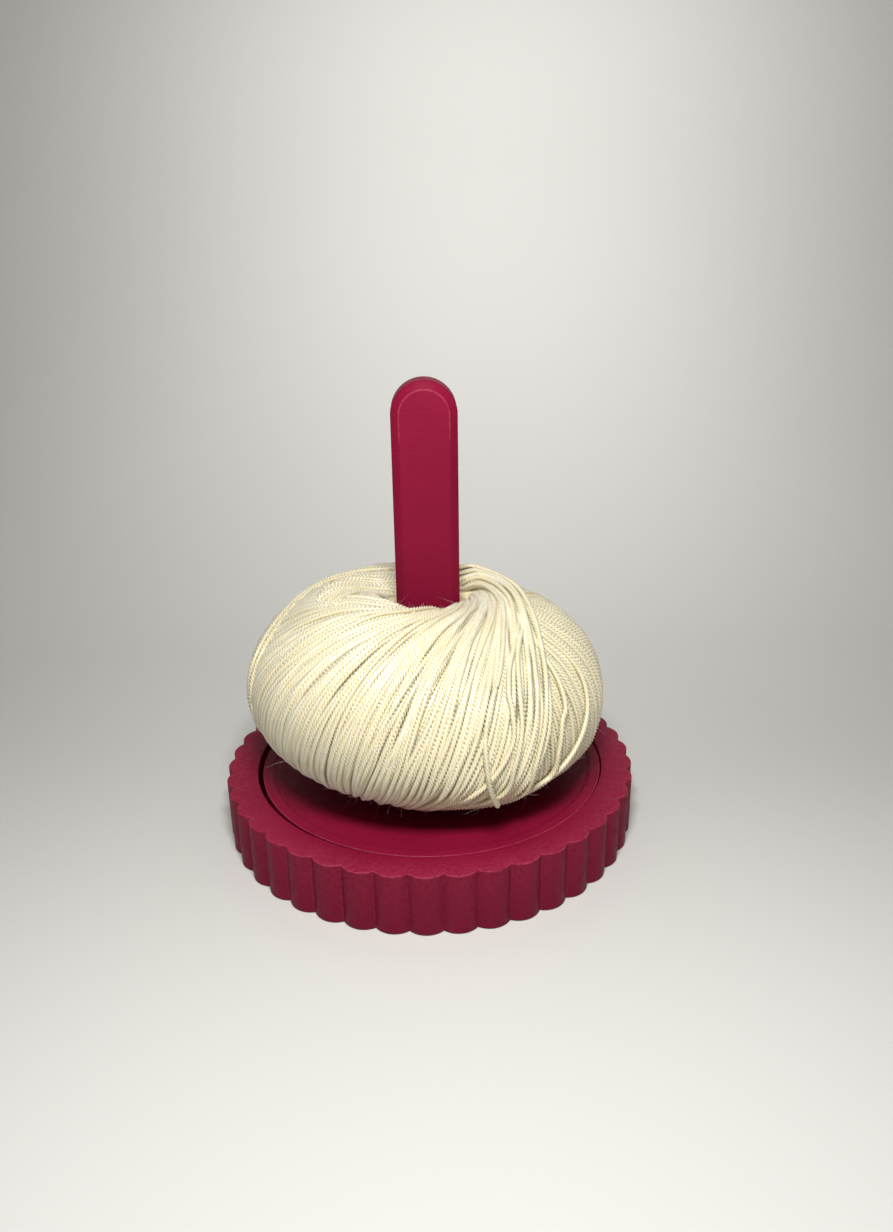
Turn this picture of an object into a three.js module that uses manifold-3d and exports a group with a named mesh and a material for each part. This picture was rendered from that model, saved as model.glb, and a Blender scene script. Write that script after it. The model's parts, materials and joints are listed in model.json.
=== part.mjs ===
// Rotating yarn holder: a scalloped base, a turntable on a 608 ball bearing, a flat spindle,
// and a centre-pull ball of yarn on the spindle. Millimetres, +Z up. The origin is the centre
// of the base on the surface that it stands on.

import * as THREE from 'three';
import { mergeVertices } from 'three/addons/utils/BufferGeometryUtils.js';
import Module from 'manifold-3d';

// ---- driving dimensions ----------------------------------------------------------------

const GAP = 0.3; // clearance between pieces that are fixed to each other
const CUT = 1; // how far a cutting tool runs past a face

const BASE = {
  tipRadius: 75, // over the lobes
  cuspRadius: 72.9, // at the grooves between them
  lobes: 42,
  firstCusp: -3.3225, // radians
  top: 22,
  bottom: 0.4, // held off the table by the foot pads
  floor: 3,
  recessRadius: 63.8,
  bossRadius: 15,
  accessRadius: 8.5, // the hole in the floor for the washer and screw
};
const FOOT = { radius: 5, height: 1.6, circle: 56, count: 4 };
const ROTOR_X = 0.65; // the bearing seat sits a little off the recess's centre

const BEARING = {
  outerRadius: 11, boreRadius: 4, width: 7, pitchRadius: 7.5, ballRadius: 1.98, balls: 7,
  grooveRadius: 2.06, innerLand: 6.05, outerLand: 8.95, bottom: 4.3, chamfer: 0.4,
};
const CAGE = { inner: 6.6, outer: 8.4, halfHeight: 2.65, pocketRadius: 2.12 };
const SHIELD = { inner: 6.35, outer: 9.6, seat: 9.9, near: 2.95, far: 3.25 };
const WASHER = { bore: 2.25, outer: 5.5, bottom: 3.2, top: 4 };
const SCREW = { shank: 1.85, head: 3.6, headBottom: 0.9, headTop: 2.9, end: 11.5, slot: 0.9, slotLength: 4.4 };

const TABLE = {
  radius: 62.75,
  top: 21.2,
  plateBottom: 16.7,
  dishFloor: 20.4,
  rimInner: 59.1,
  dishRadius: 58.2,
  edge: 0.5,
  hubRadius: 17,
  hubBottom: 12,
  shoulderRadius: 5.7,
  stubRadius: 3.7,
  pilotEnd: 11.8,
  socketFloor: 14,
};
const SPINDLE = {
  width: 22, thickness: 14, top: 161.5, chamferWidth: 2.8, chamferDepth: 2,
  tenonWidth: 17.4, tenonThickness: 9.4,
};

const YARN = {
  radius: 63, // widest, at the middle
  middle: 52.4, // height of the widest part
  rise: 41,
  drop: 32.2,
  upperPower: 2.17,
  lowerPower: 2.36,
  lipRadius: 30, // where the outside turns in towards the hole
  holeRadius: 14,
  topLip: 85.5, // heights of the hole's two rims
  bottomLip: 26,
  lipRound: 3,
  topSwell: 1.5,
  bottomSwell: 0.5,
  shiftX: -0.9,
  lean: 0.066, // tangent of the tilt to the right
};
const STRAND_RADIUS = 1;
// The loose end, from where it leaves the wound yarn to its cut tip.
const TAIL_ROUTE = [
  [20.9, -51.0, 74.3], [19.9, -52.9, 72.4], [19.1, -54.6, 70.4], [18.4, -56.2, 68.3],
  [17.8, -57.7, 66.1], [17.3, -59.0, 63.5], [17.0, -60.2, 60.5], [17.0, -61.1, 57.5],
  [17.2, -61.6, 54.5], [17.5, -61.9, 51.5], [17.9, -61.9, 48.5], [18.4, -61.4, 45.5],
  [19.0, -60.7, 42.7], [19.8, -59.7, 39.9], [20.6, -58.5, 37.5], [21.3, -57.3, 35.4],
];

// ---- materials -------------------------------------------------------------------------

const finish = (color, roughness, metalness) =>
  new THREE.MeshStandardMaterial({ color, roughness, metalness });
const printedPlastic = () => finish(0x8c1a3f, 0.55, 0);
const bearingSteel = () => finish(0xb9bcc0, 0.25, 1);
const zincSteel = () => finish(0xa3a6a8, 0.4, 1);
const rubber = () => finish(0x1c1c1d, 0.9, 0);
const wool = () => finish(0xece4cd, 0.8, 0);

// ---- solids ----------------------------------------------------------------------------

const wasm = await Module();
wasm.setup();

function toSolid(geometry) {
  const bare = geometry.clone();
  bare.deleteAttribute('normal');
  bare.deleteAttribute('uv');
  const merged = mergeVertices(bare, 1e-4);
  return new wasm.Manifold(new wasm.Mesh({
    numProp: 3,
    vertProperties: new Float32Array(merged.attributes.position.array),
    triVerts: new Uint32Array(merged.index.array),
  }));
}

function toGeometry(solid) {
  const mesh = solid.getMesh();
  const geometry = new THREE.BufferGeometry();
  geometry.setAttribute('position', new THREE.BufferAttribute(mesh.vertProperties, 3));
  geometry.setIndex(new THREE.BufferAttribute(mesh.triVerts, 1));
  geometry.computeVertexNormals();
  return geometry;
}

// A geometry that stands on z = low and reaches z = high, centred at x, y.
function cylinder(radius, low, high, sides, x = 0, y = 0) {
  const geometry = new THREE.CylinderGeometry(radius, radius, high - low, sides);
  geometry.rotateX(Math.PI / 2);
  return geometry.translate(x, y, (low + high) / 2);
}

function box(width, depth, low, high, x = 0, y = 0) {
  return new THREE.BoxGeometry(width, depth, high - low).translate(x, y, (low + high) / 2);
}

// A closed profile of [radius, height] points turned about Z.
function turned(profile, sides) {
  const points = profile.map(([r, z]) => new THREE.Vector2(r, z));
  if (points[0].x > 0) points.push(points[0].clone());
  return new THREE.LatheGeometry(points, sides).rotateX(Math.PI / 2);
}

function named(name, geometry, material, x = 0, y = 0, z = 0) {
  const mesh = new THREE.Mesh(geometry, material);
  mesh.name = name;
  mesh.position.set(x, y, z);
  return mesh;
}

// Arc points [r, z] about (r0, z0), from one angle to another in degrees.
function arc(r0, z0, radius, from, to, steps) {
  return Array.from({ length: steps + 1 }, (_, i) => {
    const angle = THREE.MathUtils.degToRad(from + ((to - from) * i) / steps);
    return [r0 + radius * Math.cos(angle), z0 + radius * Math.sin(angle)];
  });
}

// ---- base ------------------------------------------------------------------------------

function scallopedOutline() {
  const { tipRadius, cuspRadius, lobes, firstCusp } = BASE;
  const halfPitch = Math.PI / lobes;
  const halfChord = cuspRadius * Math.sin(halfPitch);
  const rise = tipRadius - cuspRadius * Math.cos(halfPitch);
  const lobeRadius = (halfChord ** 2 + rise ** 2) / (2 * rise);
  const centre = tipRadius - lobeRadius;
  const sweep = Math.asin(halfChord / lobeRadius);
  const stepsPerLobe = 6;
  const shape = new THREE.Shape();
  for (let lobe = 0; lobe < lobes; lobe++) {
    const middle = firstCusp + (2 * lobe + 1) * halfPitch;
    for (let i = 0; i < stepsPerLobe; i++) {
      const angle = middle - sweep + (2 * sweep * i) / stepsPerLobe;
      const x = centre * Math.cos(middle) + lobeRadius * Math.cos(angle);
      const y = centre * Math.sin(middle) + lobeRadius * Math.sin(angle);
      if (lobe === 0 && i === 0) shape.moveTo(x, y);
      else shape.lineTo(x, y);
    }
  }
  shape.closePath();
  return shape;
}

function footPlaces() {
  return Array.from({ length: FOOT.count }, (_, i) => {
    const angle = ((i + 0.5) * 2 * Math.PI) / FOOT.count;
    return [FOOT.circle * Math.cos(angle), FOOT.circle * Math.sin(angle)];
  });
}

function baseBody() {
  const height = BASE.top - BASE.bottom;
  const block = new THREE.ExtrudeGeometry(scallopedOutline(), { depth: height, bevelEnabled: false });
  block.translate(0, 0, BASE.bottom);
  const floorTop = BASE.bottom + BASE.floor;
  const seatFloor = BEARING.bottom - GAP;
  const bossTop = TABLE.hubBottom - 1;
  let body = toSolid(block)
    .subtract(toSolid(cylinder(BASE.recessRadius, floorTop, BASE.top + CUT, 96)))
    .add(toSolid(cylinder(BASE.bossRadius, floorTop - CUT, bossTop, 48, ROTOR_X)))
    .subtract(toSolid(cylinder(BEARING.outerRadius + GAP, seatFloor, bossTop + CUT, 64, ROTOR_X)))
    .subtract(toSolid(cylinder(BASE.accessRadius, -CUT, seatFloor + CUT, 48, ROTOR_X)));
  for (const [x, y] of footPlaces()) {
    const pocket = cylinder(FOOT.radius + GAP, -CUT, FOOT.height + GAP, 32, x, y);
    body = body.subtract(toSolid(pocket));
  }
  return named('base_body', toGeometry(body), printedPlastic());
}

function footPads() {
  return footPlaces().map(([x, y], i) =>
    named(`foot_pad_${i + 1}`, cylinder(FOOT.radius, 0, FOOT.height, 32, x, y), rubber()));
}

// ---- bearing ---------------------------------------------------------------------------

const bearingMiddle = BEARING.bottom + BEARING.width / 2;

function outerRing() {
  const { outerRadius, outerLand, width, pitchRadius, grooveRadius, chamfer } = BEARING;
  const half = width / 2;
  const mouth = THREE.MathUtils.radToDeg(Math.acos((outerLand - pitchRadius) / grooveRadius));
  const seatStep = SHIELD.near - 0.15;
  return turned([
    [outerRadius - chamfer, -half], [outerRadius, chamfer - half],
    [outerRadius, half - chamfer], [outerRadius - chamfer, half],
    [SHIELD.seat, half], [SHIELD.seat, seatStep], [outerLand, seatStep],
    ...arc(pitchRadius, 0, grooveRadius, mouth, -mouth, 6),
    [outerLand, -seatStep], [SHIELD.seat, -seatStep], [SHIELD.seat, -half],
  ], 48);
}

function innerRing() {
  const { boreRadius, innerLand, width, pitchRadius, grooveRadius, chamfer } = BEARING;
  const half = width / 2;
  const mouth = THREE.MathUtils.radToDeg(Math.acos((pitchRadius - innerLand) / grooveRadius));
  return turned([
    [boreRadius + chamfer, -half], [innerLand, -half],
    ...arc(pitchRadius, 0, grooveRadius, 180 + mouth, 180 - mouth, 6),
    [innerLand, half], [boreRadius + chamfer, half],
    [boreRadius, half - chamfer], [boreRadius, chamfer - half],
  ], 40);
}

function ballPlaces() {
  return Array.from({ length: BEARING.balls }, (_, i) => {
    const angle = (2 * Math.PI * i) / BEARING.balls;
    return [BEARING.pitchRadius * Math.cos(angle), BEARING.pitchRadius * Math.sin(angle)];
  });
}

function cage() {
  const { inner, outer, halfHeight, pocketRadius } = CAGE;
  let ring = toSolid(turned([
    [inner, -halfHeight], [outer, -halfHeight], [outer, halfHeight], [inner, halfHeight],
  ], 42));
  for (const [x, y] of ballPlaces()) {
    ring = ring.subtract(toSolid(new THREE.SphereGeometry(pocketRadius, 14, 10).translate(x, y, 0)));
  }
  return toGeometry(ring);
}

function shield(side) {
  const low = side > 0 ? SHIELD.near : -SHIELD.far;
  const high = low + SHIELD.far - SHIELD.near;
  return turned([[SHIELD.inner, low], [SHIELD.outer, low], [SHIELD.outer, high], [SHIELD.inner, high]], 48);
}

function bearing() {
  const group = new THREE.Group();
  group.position.set(ROTOR_X, 0, bearingMiddle);
  group.add(
    named('bearing_outer_ring', outerRing(), bearingSteel()),
    named('bearing_inner_ring', innerRing(), bearingSteel()),
    named('bearing_cage', cage(), zincSteel()),
    named('bearing_upper_shield', shield(1), zincSteel()),
    named('bearing_lower_shield', shield(-1), zincSteel()),
  );
  ballPlaces().forEach(([x, y], i) => {
    const ball = new THREE.SphereGeometry(BEARING.ballRadius, 12, 8).rotateX(Math.PI / 2);
    group.add(named(`bearing_ball_${i + 1}`, ball, bearingSteel(), x, y));
  });
  return group;
}

function retainingWasher() {
  const { bore, outer, bottom, top } = WASHER;
  const ring = turned([[bore, bottom], [outer, bottom], [outer, top], [bore, top]], 40);
  return named('retaining_washer', ring, zincSteel(), ROTOR_X);
}

function retainingScrew() {
  const { shank, head, headBottom, headTop, end, slot, slotLength } = SCREW;
  const body = turned([
    [0, headBottom], [head - 0.6, headBottom], [head, headBottom + 0.6], [head, headTop],
    [shank, headTop], [shank, end - 1.2], [shank - 0.8, end], [0, end],
  ], 32);
  const slotTop = headBottom + 1.1;
  const cross = toSolid(box(slotLength, slot, headBottom - CUT, slotTop))
    .add(toSolid(box(slot, slotLength, headBottom - CUT, slotTop)));
  return named('retaining_screw', toGeometry(toSolid(body).subtract(cross)), zincSteel(), ROTOR_X);
}

// ---- turntable and spindle -------------------------------------------------------------

function turntable() {
  const t = TABLE;
  const stubBottom = WASHER.top + 2 * GAP;
  const shoulder = BEARING.bottom + BEARING.width + GAP;
  const disc = turned([
    [0, stubBottom], [t.stubRadius, stubBottom], [t.stubRadius, shoulder],
    [t.shoulderRadius, shoulder], [t.shoulderRadius, t.hubBottom], [t.hubRadius, t.hubBottom],
    [t.hubRadius, t.plateBottom], [t.radius - t.edge, t.plateBottom],
    [t.radius, t.plateBottom + t.edge], [t.radius, t.top - t.edge], [t.radius - t.edge, t.top],
    [t.rimInner, t.top], [t.dishRadius, t.dishFloor], [0, t.dishFloor],
  ], 96);
  const socket = box(SPINDLE.tenonWidth + 2 * GAP, SPINDLE.tenonThickness + 2 * GAP,
    t.socketFloor, t.dishFloor + CUT);
  const pilot = cylinder(SCREW.shank + GAP, stubBottom - CUT, t.pilotEnd, 32);
  const body = toSolid(disc).subtract(toSolid(socket)).subtract(toSolid(pilot));
  return named('turntable', toGeometry(body), printedPlastic(), ROTOR_X);
}

function spindle() {
  const { width, thickness, top, chamferWidth, chamferDepth } = SPINDLE;
  const shoulder = TABLE.dishFloor + GAP;
  const half = width / 2;
  const outline = new THREE.Shape();
  outline.moveTo(-half, 0);
  outline.lineTo(half, 0);
  outline.lineTo(half, top - half);
  outline.absarc(0, top - half, half, 0, Math.PI, false);
  outline.closePath();
  const blade = new THREE.ExtrudeGeometry(outline, {
    depth: thickness - 2 * chamferDepth,
    curveSegments: 40,
    bevelThickness: chamferDepth,
    bevelSize: chamferWidth,
    bevelOffset: -chamferWidth,
    bevelSegments: 1,
  });
  blade.translate(0, 0, chamferDepth - thickness / 2).rotateX(Math.PI / 2);
  const tenon = box(SPINDLE.tenonWidth, SPINDLE.tenonThickness, TABLE.socketFloor + GAP, shoulder + CUT);
  const body = toSolid(blade)
    .subtract(toSolid(box(2 * width, 2 * width, -CUT, shoulder)))
    .add(toSolid(tenon));
  return named('spindle', toGeometry(body), printedPlastic(), ROTOR_X);
}

// ---- yarn ------------------------------------------------------------------------------

// A point [radius, height] on the ball's outside: angle runs from -90 (bottom) to 90 (top).
function yarnOutside(angle) {
  const upper = angle > 0;
  const power = 2 / (upper ? YARN.upperPower : YARN.lowerPower);
  const height = (upper ? YARN.rise : -YARN.drop) * Math.abs(Math.sin(angle)) ** power;
  return [YARN.radius * Math.cos(angle) ** power, YARN.middle + height];
}

// The rounded turn from the outside, at start, into the hole at the height end.
function yarnLip(start, swell, end) {
  const curve = new THREE.QuadraticBezierCurve(
    new THREE.Vector2(...start),
    new THREE.Vector2(YARN.holeRadius + YARN.lipRound, start[1] + swell),
    new THREE.Vector2(YARN.holeRadius, end),
  );
  return curve.getPoints(4).slice(1).map((p) => [p.x, p.y]);
}

function yarnProfile() {
  const steps = 14;
  const lipAngle = (power) => Math.acos((YARN.lipRadius / YARN.radius) ** (power / 2));
  const low = -lipAngle(YARN.lowerPower);
  const high = lipAngle(YARN.upperPower);
  const outside = Array.from({ length: steps + 1 }, (_, i) => yarnOutside(low + ((high - low) * i) / steps));
  const topLip = yarnLip(outside.at(-1), YARN.topSwell, YARN.topLip);
  const bottomLip = yarnLip(outside[0], -YARN.bottomSwell, YARN.bottomLip).reverse();
  return [...bottomLip, ...outside, ...topLip];
}

function yarnBall() {
  const solid = turned(yarnProfile(), 48);
  const position = solid.attributes.position;
  for (let i = 0; i < position.count; i++) {
    position.setZ(i, position.getZ(i) - YARN.lean * position.getX(i));
  }
  solid.computeBoundingBox();
  const lift = TABLE.dishFloor + GAP - solid.boundingBox.min.z;
  return named('yarn_ball', solid.translate(0, 0, lift), wool(), YARN.shiftX);
}

function yarnTail() {
  const route = new THREE.CatmullRomCurve3(TAIL_ROUTE.map((p) => new THREE.Vector3(...p)));
  const sides = 8;
  const section = new THREE.Shape(Array.from({ length: sides }, (_, i) => {
    const angle = (2 * Math.PI * i) / sides;
    return new THREE.Vector2(STRAND_RADIUS * Math.cos(angle), STRAND_RADIUS * Math.sin(angle));
  }));
  const tube = new THREE.ExtrudeGeometry(section, { steps: 20, extrudePath: route });
  return named('yarn_tail', tube, wool());
}

// ---- assembly --------------------------------------------------------------------------

const holder = new THREE.Group();
holder.add(baseBody(), ...footPads(), bearing(), retainingWasher(), retainingScrew());
holder.add(turntable(), spindle(), yarnBall(), yarnTail());

export default holder;
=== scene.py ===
import json
import math

import bmesh
import bpy
import numpy as np
from mathutils import Matrix, Vector


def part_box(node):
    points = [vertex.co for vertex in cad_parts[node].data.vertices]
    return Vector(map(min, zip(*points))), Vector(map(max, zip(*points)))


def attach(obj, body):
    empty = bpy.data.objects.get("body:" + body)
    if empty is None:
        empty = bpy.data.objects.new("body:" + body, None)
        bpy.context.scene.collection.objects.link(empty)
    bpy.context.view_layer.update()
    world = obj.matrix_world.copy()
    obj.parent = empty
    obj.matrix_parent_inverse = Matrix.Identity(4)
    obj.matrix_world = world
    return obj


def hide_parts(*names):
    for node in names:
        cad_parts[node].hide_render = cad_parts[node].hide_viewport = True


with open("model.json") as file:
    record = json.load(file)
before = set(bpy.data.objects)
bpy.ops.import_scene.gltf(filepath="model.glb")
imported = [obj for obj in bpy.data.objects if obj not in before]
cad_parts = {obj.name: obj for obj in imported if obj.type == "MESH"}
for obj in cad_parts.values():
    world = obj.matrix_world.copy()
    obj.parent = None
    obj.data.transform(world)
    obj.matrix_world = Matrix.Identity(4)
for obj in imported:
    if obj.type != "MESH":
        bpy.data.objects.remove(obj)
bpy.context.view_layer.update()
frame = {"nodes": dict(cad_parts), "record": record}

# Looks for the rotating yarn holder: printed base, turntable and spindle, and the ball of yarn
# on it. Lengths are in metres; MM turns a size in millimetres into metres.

MM = 0.001
SEED = 7

# ---- places read from the frame ----

base_low, base_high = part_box("base_body")
table_low, table_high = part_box("turntable")
spindle_low, spindle_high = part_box("spindle")
ball_low, ball_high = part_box("yarn_ball")
ROTOR_X = (spindle_low.x + spindle_high.x) / 2

# ---- sizes shared with the part's source ----

LOBES = 42
FIRST_CUSP = -3.3225  # radians
TIP_RADIUS = 75 * MM
CUSP_RADIUS = 72.9 * MM
RECESS_RADIUS = 63.8 * MM
FLOOR_TOP = 3.4 * MM
BOSS_RADIUS = 15 * MM
BOSS_TOP = 11 * MM
SEAT_RADIUS = 11.3 * MM
SEAT_FLOOR = 4 * MM
ACCESS_RADIUS = 8.5 * MM
POCKET_RADIUS = 5.3 * MM
POCKET_TOP = 1.9 * MM
FEET = 4
CUT = 1 * MM  # how far a cut runs past a face, and a joined piece into its neighbour

TABLE_RADIUS = 62.75 * MM
PLATE_BOTTOM = 16.7 * MM
DISH_FLOOR = 20.4 * MM
RIM_INNER = 59.1 * MM
DISH_RADIUS = 58.2 * MM
HUB_RADIUS = 17 * MM
HUB_BOTTOM = 12 * MM
SHOULDER_RADIUS = 5.7 * MM
SHOULDER = 11.6 * MM
STUB_RADIUS = 3.7 * MM
PILOT_RADIUS = 2.15 * MM
PILOT_END = 11.8 * MM
SOCKET = (18 * MM, 10 * MM, 14 * MM)  # width, depth, floor

SPINDLE_SHOULDER = 20.7 * MM
TENON = (17.4 * MM, 9.4 * MM)
CHAMFER_WIDTH = 2.8 * MM
CHAMFER_DEPTH = 2 * MM

STRAND_RADIUS = 1 * MM
TAIL_ROUTE = [Vector(p) * MM for p in (
    (20.9, -51.0, 74.3), (19.9, -52.9, 72.4), (19.1, -54.6, 70.4), (18.4, -56.2, 68.3),
    (17.8, -57.7, 66.1), (17.3, -59.0, 63.5), (17.0, -60.2, 60.5), (17.0, -61.1, 57.5),
    (17.2, -61.6, 54.5), (17.5, -61.9, 51.5), (17.9, -61.9, 48.5), (18.4, -61.4, 45.5),
    (19.0, -60.7, 42.7), (19.8, -59.7, 39.9), (20.6, -58.5, 37.5), (21.3, -57.3, 35.4),
)]

# ---- mesh helpers ----


def linked(name, data):
    """A new object in the scene, made of a mesh, a light or a camera."""
    obj = bpy.data.objects.new(name, data)
    bpy.context.scene.collection.objects.link(obj)
    return obj


def mesh_object(name, verts, faces, smooth=True):
    """A mesh object from vertex and face arrays."""
    mesh = bpy.data.meshes.new(name)
    mesh.from_pydata(np.asarray(verts).tolist(), [], [list(map(int, f)) for f in faces])
    mesh.validate()
    if smooth:
        mesh.shade_smooth()
    return linked(name, mesh)


def quad_object(name, verts, quads):
    """A smooth mesh object of many quads, made from numpy arrays."""
    mesh = bpy.data.meshes.new(name)
    mesh.vertices.add(len(verts))
    mesh.vertices.foreach_set("co", np.asarray(verts, np.float32).ravel())
    mesh.loops.add(4 * len(quads))
    mesh.loops.foreach_set("vertex_index", np.asarray(quads, np.int32).ravel())
    mesh.polygons.add(len(quads))
    mesh.polygons.foreach_set("loop_start", np.arange(0, 4 * len(quads), 4, dtype=np.int32))
    mesh.update(calc_edges=True)
    mesh.shade_smooth()
    return linked(name, mesh)


def vertex_places(obj):
    return np.array([v.co for v in obj.data.vertices])


def vertex_value(obj, name, values):
    """Stores one number for each vertex under a name that materials can read."""
    attribute = obj.data.attributes.new(name, "FLOAT", "POINT")
    attribute.data.foreach_set("value", np.asarray(values, np.float32).ravel())


def ring_quads(grid, closed=False):
    """Quads between the rows of a grid of vertex numbers. Each row is a closed ring, and the last
    row joins the first one too if closed."""
    right = np.roll(grid, -1, 1)
    if closed:
        corners = grid, right, np.roll(right, -1, 0), np.roll(grid, -1, 0)
    else:
        corners = grid[:-1], right[:-1], right[1:], grid[1:]
    return np.stack(corners, -1).reshape(-1, 4)


def fan(ring, pole):
    """Triangles from a ring of vertex numbers to one more vertex."""
    return [[pole, a, b] for a, b in zip(ring, np.roll(ring, -1))]


def arc(start, corner, end, steps):
    """Points on a short arc that leaves start and reaches end, heading for the corner."""
    t = np.linspace(0, 1, steps + 1)[:, None]
    return (1 - t) ** 2 * start + 2 * t * (1 - t) * corner + t * t * end


def filleted(points, radius, steps=3):
    """A closed outline of 2-D points with each corner turned into a short arc."""
    points = [np.array(p, float) for p in points]
    out = []
    for i, corner in enumerate(points):
        before, after = points[i - 1] - corner, points[(i + 1) % len(points)] - corner
        reach = min(radius, 0.45 * np.linalg.norm(before), 0.45 * np.linalg.norm(after))
        start = corner + before / np.linalg.norm(before) * reach
        end = corner + after / np.linalg.norm(after) * reach
        out += list(arc(start, corner, end, steps))
    return out


def run_along(points):
    """How far along a line each of its points lies."""
    return np.concatenate([[0], np.cumsum(np.linalg.norm(np.diff(points, axis=0), axis=1))])


def evenly_spaced(points, step, *others):
    """The same line through points that lie a step apart, and other values at those points."""
    points = np.asarray(points, float)
    run = run_along(points)
    at = np.linspace(0, run[-1], max(int(round(run[-1] / step)), 4) + 1)
    made = [np.stack([np.interp(at, run, column) for column in values.T], 1)
            for values in (points, *others)]
    return made if others else made[0]


def ramp(value, start, end):
    """0 at start and before it, 1 at end and after it, and straight between them."""
    return np.clip((value - start) / (end - start), 0, 1)


def smoothstep(t):
    """0 at 0, 1 at 1, and level at both."""
    return t * t * (3 - 2 * t)


def hump(value, spread):
    """1 where the value is 0, and falling off on both sides."""
    return np.exp(-(value / spread) ** 2)


def ring_points(radius, height, angles, x=0.0):
    """Points round an upright axis at x. The radius can be another at each angle."""
    return np.stack([x + radius * np.cos(angles), radius * np.sin(angles),
                     np.full(len(angles), height)], 1)


def turned(name, outline, sides, radius_at, first):
    """Turns a closed outline of (radius, height) about the vertical axis, from angle first.
    radius_at(angles, radius) bends the rings away from circles."""
    angles = first + np.linspace(0, 2 * math.pi, sides, endpoint=False)
    rings = [ring_points(radius_at(angles, r), z, angles) for r, z in outline]
    grid = np.arange(len(rings) * sides).reshape(-1, sides)
    return quad_object(name, np.concatenate(rings), ring_quads(grid, closed=True))


def solid_of_revolution(name, outline, sides, x=0.0):
    """As turned, for an outline that starts and ends on the axis, closed with two poles."""
    angles = np.linspace(0, 2 * math.pi, sides, endpoint=False)
    rings = [ring_points(r, z, angles, x) for r, z in outline[1:-1]]
    verts = np.concatenate(rings + [[[x, 0, outline[0][1]]], [[x, 0, outline[-1][1]]]])
    grid = np.arange(len(rings) * sides).reshape(-1, sides)
    faces = ring_quads(grid).tolist() + fan(grid[0], grid.size) + fan(grid[-1], grid.size + 1)
    return mesh_object(name, verts, faces)


def recalculated(obj):
    """Makes a closed mesh's faces all point out."""
    bm = bmesh.new()
    bm.from_mesh(obj.data)
    bmesh.ops.recalc_face_normals(bm, faces=bm.faces)
    bm.to_mesh(obj.data)
    bm.free()
    return obj


def cylinder(name, radius, low, high, sides, x=0.0, y=0.0):
    """An upright cylinder from height low to high."""
    obj = solid_of_revolution(name, [(0, low), (radius, low), (radius, high), (0, high)], sides, x)
    obj.data.transform(Matrix.Translation((0, y, 0)))
    return recalculated(obj)


def block(name, width, depth, low, high, x=0.0):
    """An upright box from height low to high."""
    verts = [(x + sx * width / 2, sy * depth / 2, z)
             for z in (low, high) for sx, sy in ((-1, -1), (1, -1), (1, 1), (-1, 1))]
    sides = [[i, (i + 1) % 4, 4 + (i + 1) % 4, 4 + i] for i in range(4)]
    return recalculated(mesh_object(name, verts, [[3, 2, 1, 0], [4, 5, 6, 7]] + sides, smooth=False))


def combine(obj, other, operation):
    """Joins other to obj, or cuts it from obj, and removes other."""
    modifier = obj.modifiers.new("combine", "BOOLEAN")
    modifier.operation, modifier.object, modifier.solver = operation, other, "MANIFOLD"
    made = bpy.data.meshes.new_from_object(obj.evaluated_get(bpy.context.evaluated_depsgraph_get()))
    obj.modifiers.remove(modifier)
    obj.data = made
    bpy.data.objects.remove(other)


def sharp_where_angled(obj, degrees=28):
    """Smooth shading with crisp edges wherever two faces meet at more than the angle."""
    obj.data.shade_smooth()
    obj.data.set_sharp_from_angle(angle=math.radians(degrees))


# ---- camera ----

CAMERA_PLACE = Vector((0, -320.33, 204.97)) * MM
CAMERA_YAW = 0.02204  # radians, to the right of straight ahead
CAMERA_PITCH = 0.37636  # down
CAMERA_ROLL = -0.015656
CAMERA_LENS = 28.267  # in mm
SENSOR = 36  # the picture's longer side, in mm


def add_camera():
    """A near view from in front and above, looking down at the object's middle."""
    across, along = math.cos(CAMERA_PITCH), math.sin(CAMERA_PITCH)
    forward = Vector((math.sin(CAMERA_YAW) * across, math.cos(CAMERA_YAW) * across, -along))
    right = Vector((math.cos(CAMERA_YAW), -math.sin(CAMERA_YAW), 0))
    up = right.cross(forward)
    rolled_right = right * math.cos(CAMERA_ROLL) + up * math.sin(CAMERA_ROLL)
    rolled_up = up * math.cos(CAMERA_ROLL) - right * math.sin(CAMERA_ROLL)
    data = bpy.data.cameras.new("camera")
    data.lens, data.sensor_width = CAMERA_LENS, SENSOR
    data.clip_start, data.clip_end = 0.01, 20
    obj = linked("camera", data)
    turned_so = Matrix((rolled_right, rolled_up, -forward)).transposed().to_4x4()
    obj.matrix_world = Matrix.Translation(CAMERA_PLACE) @ turned_so
    bpy.context.scene.camera = obj


add_camera()

# ---- node helpers ----


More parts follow.
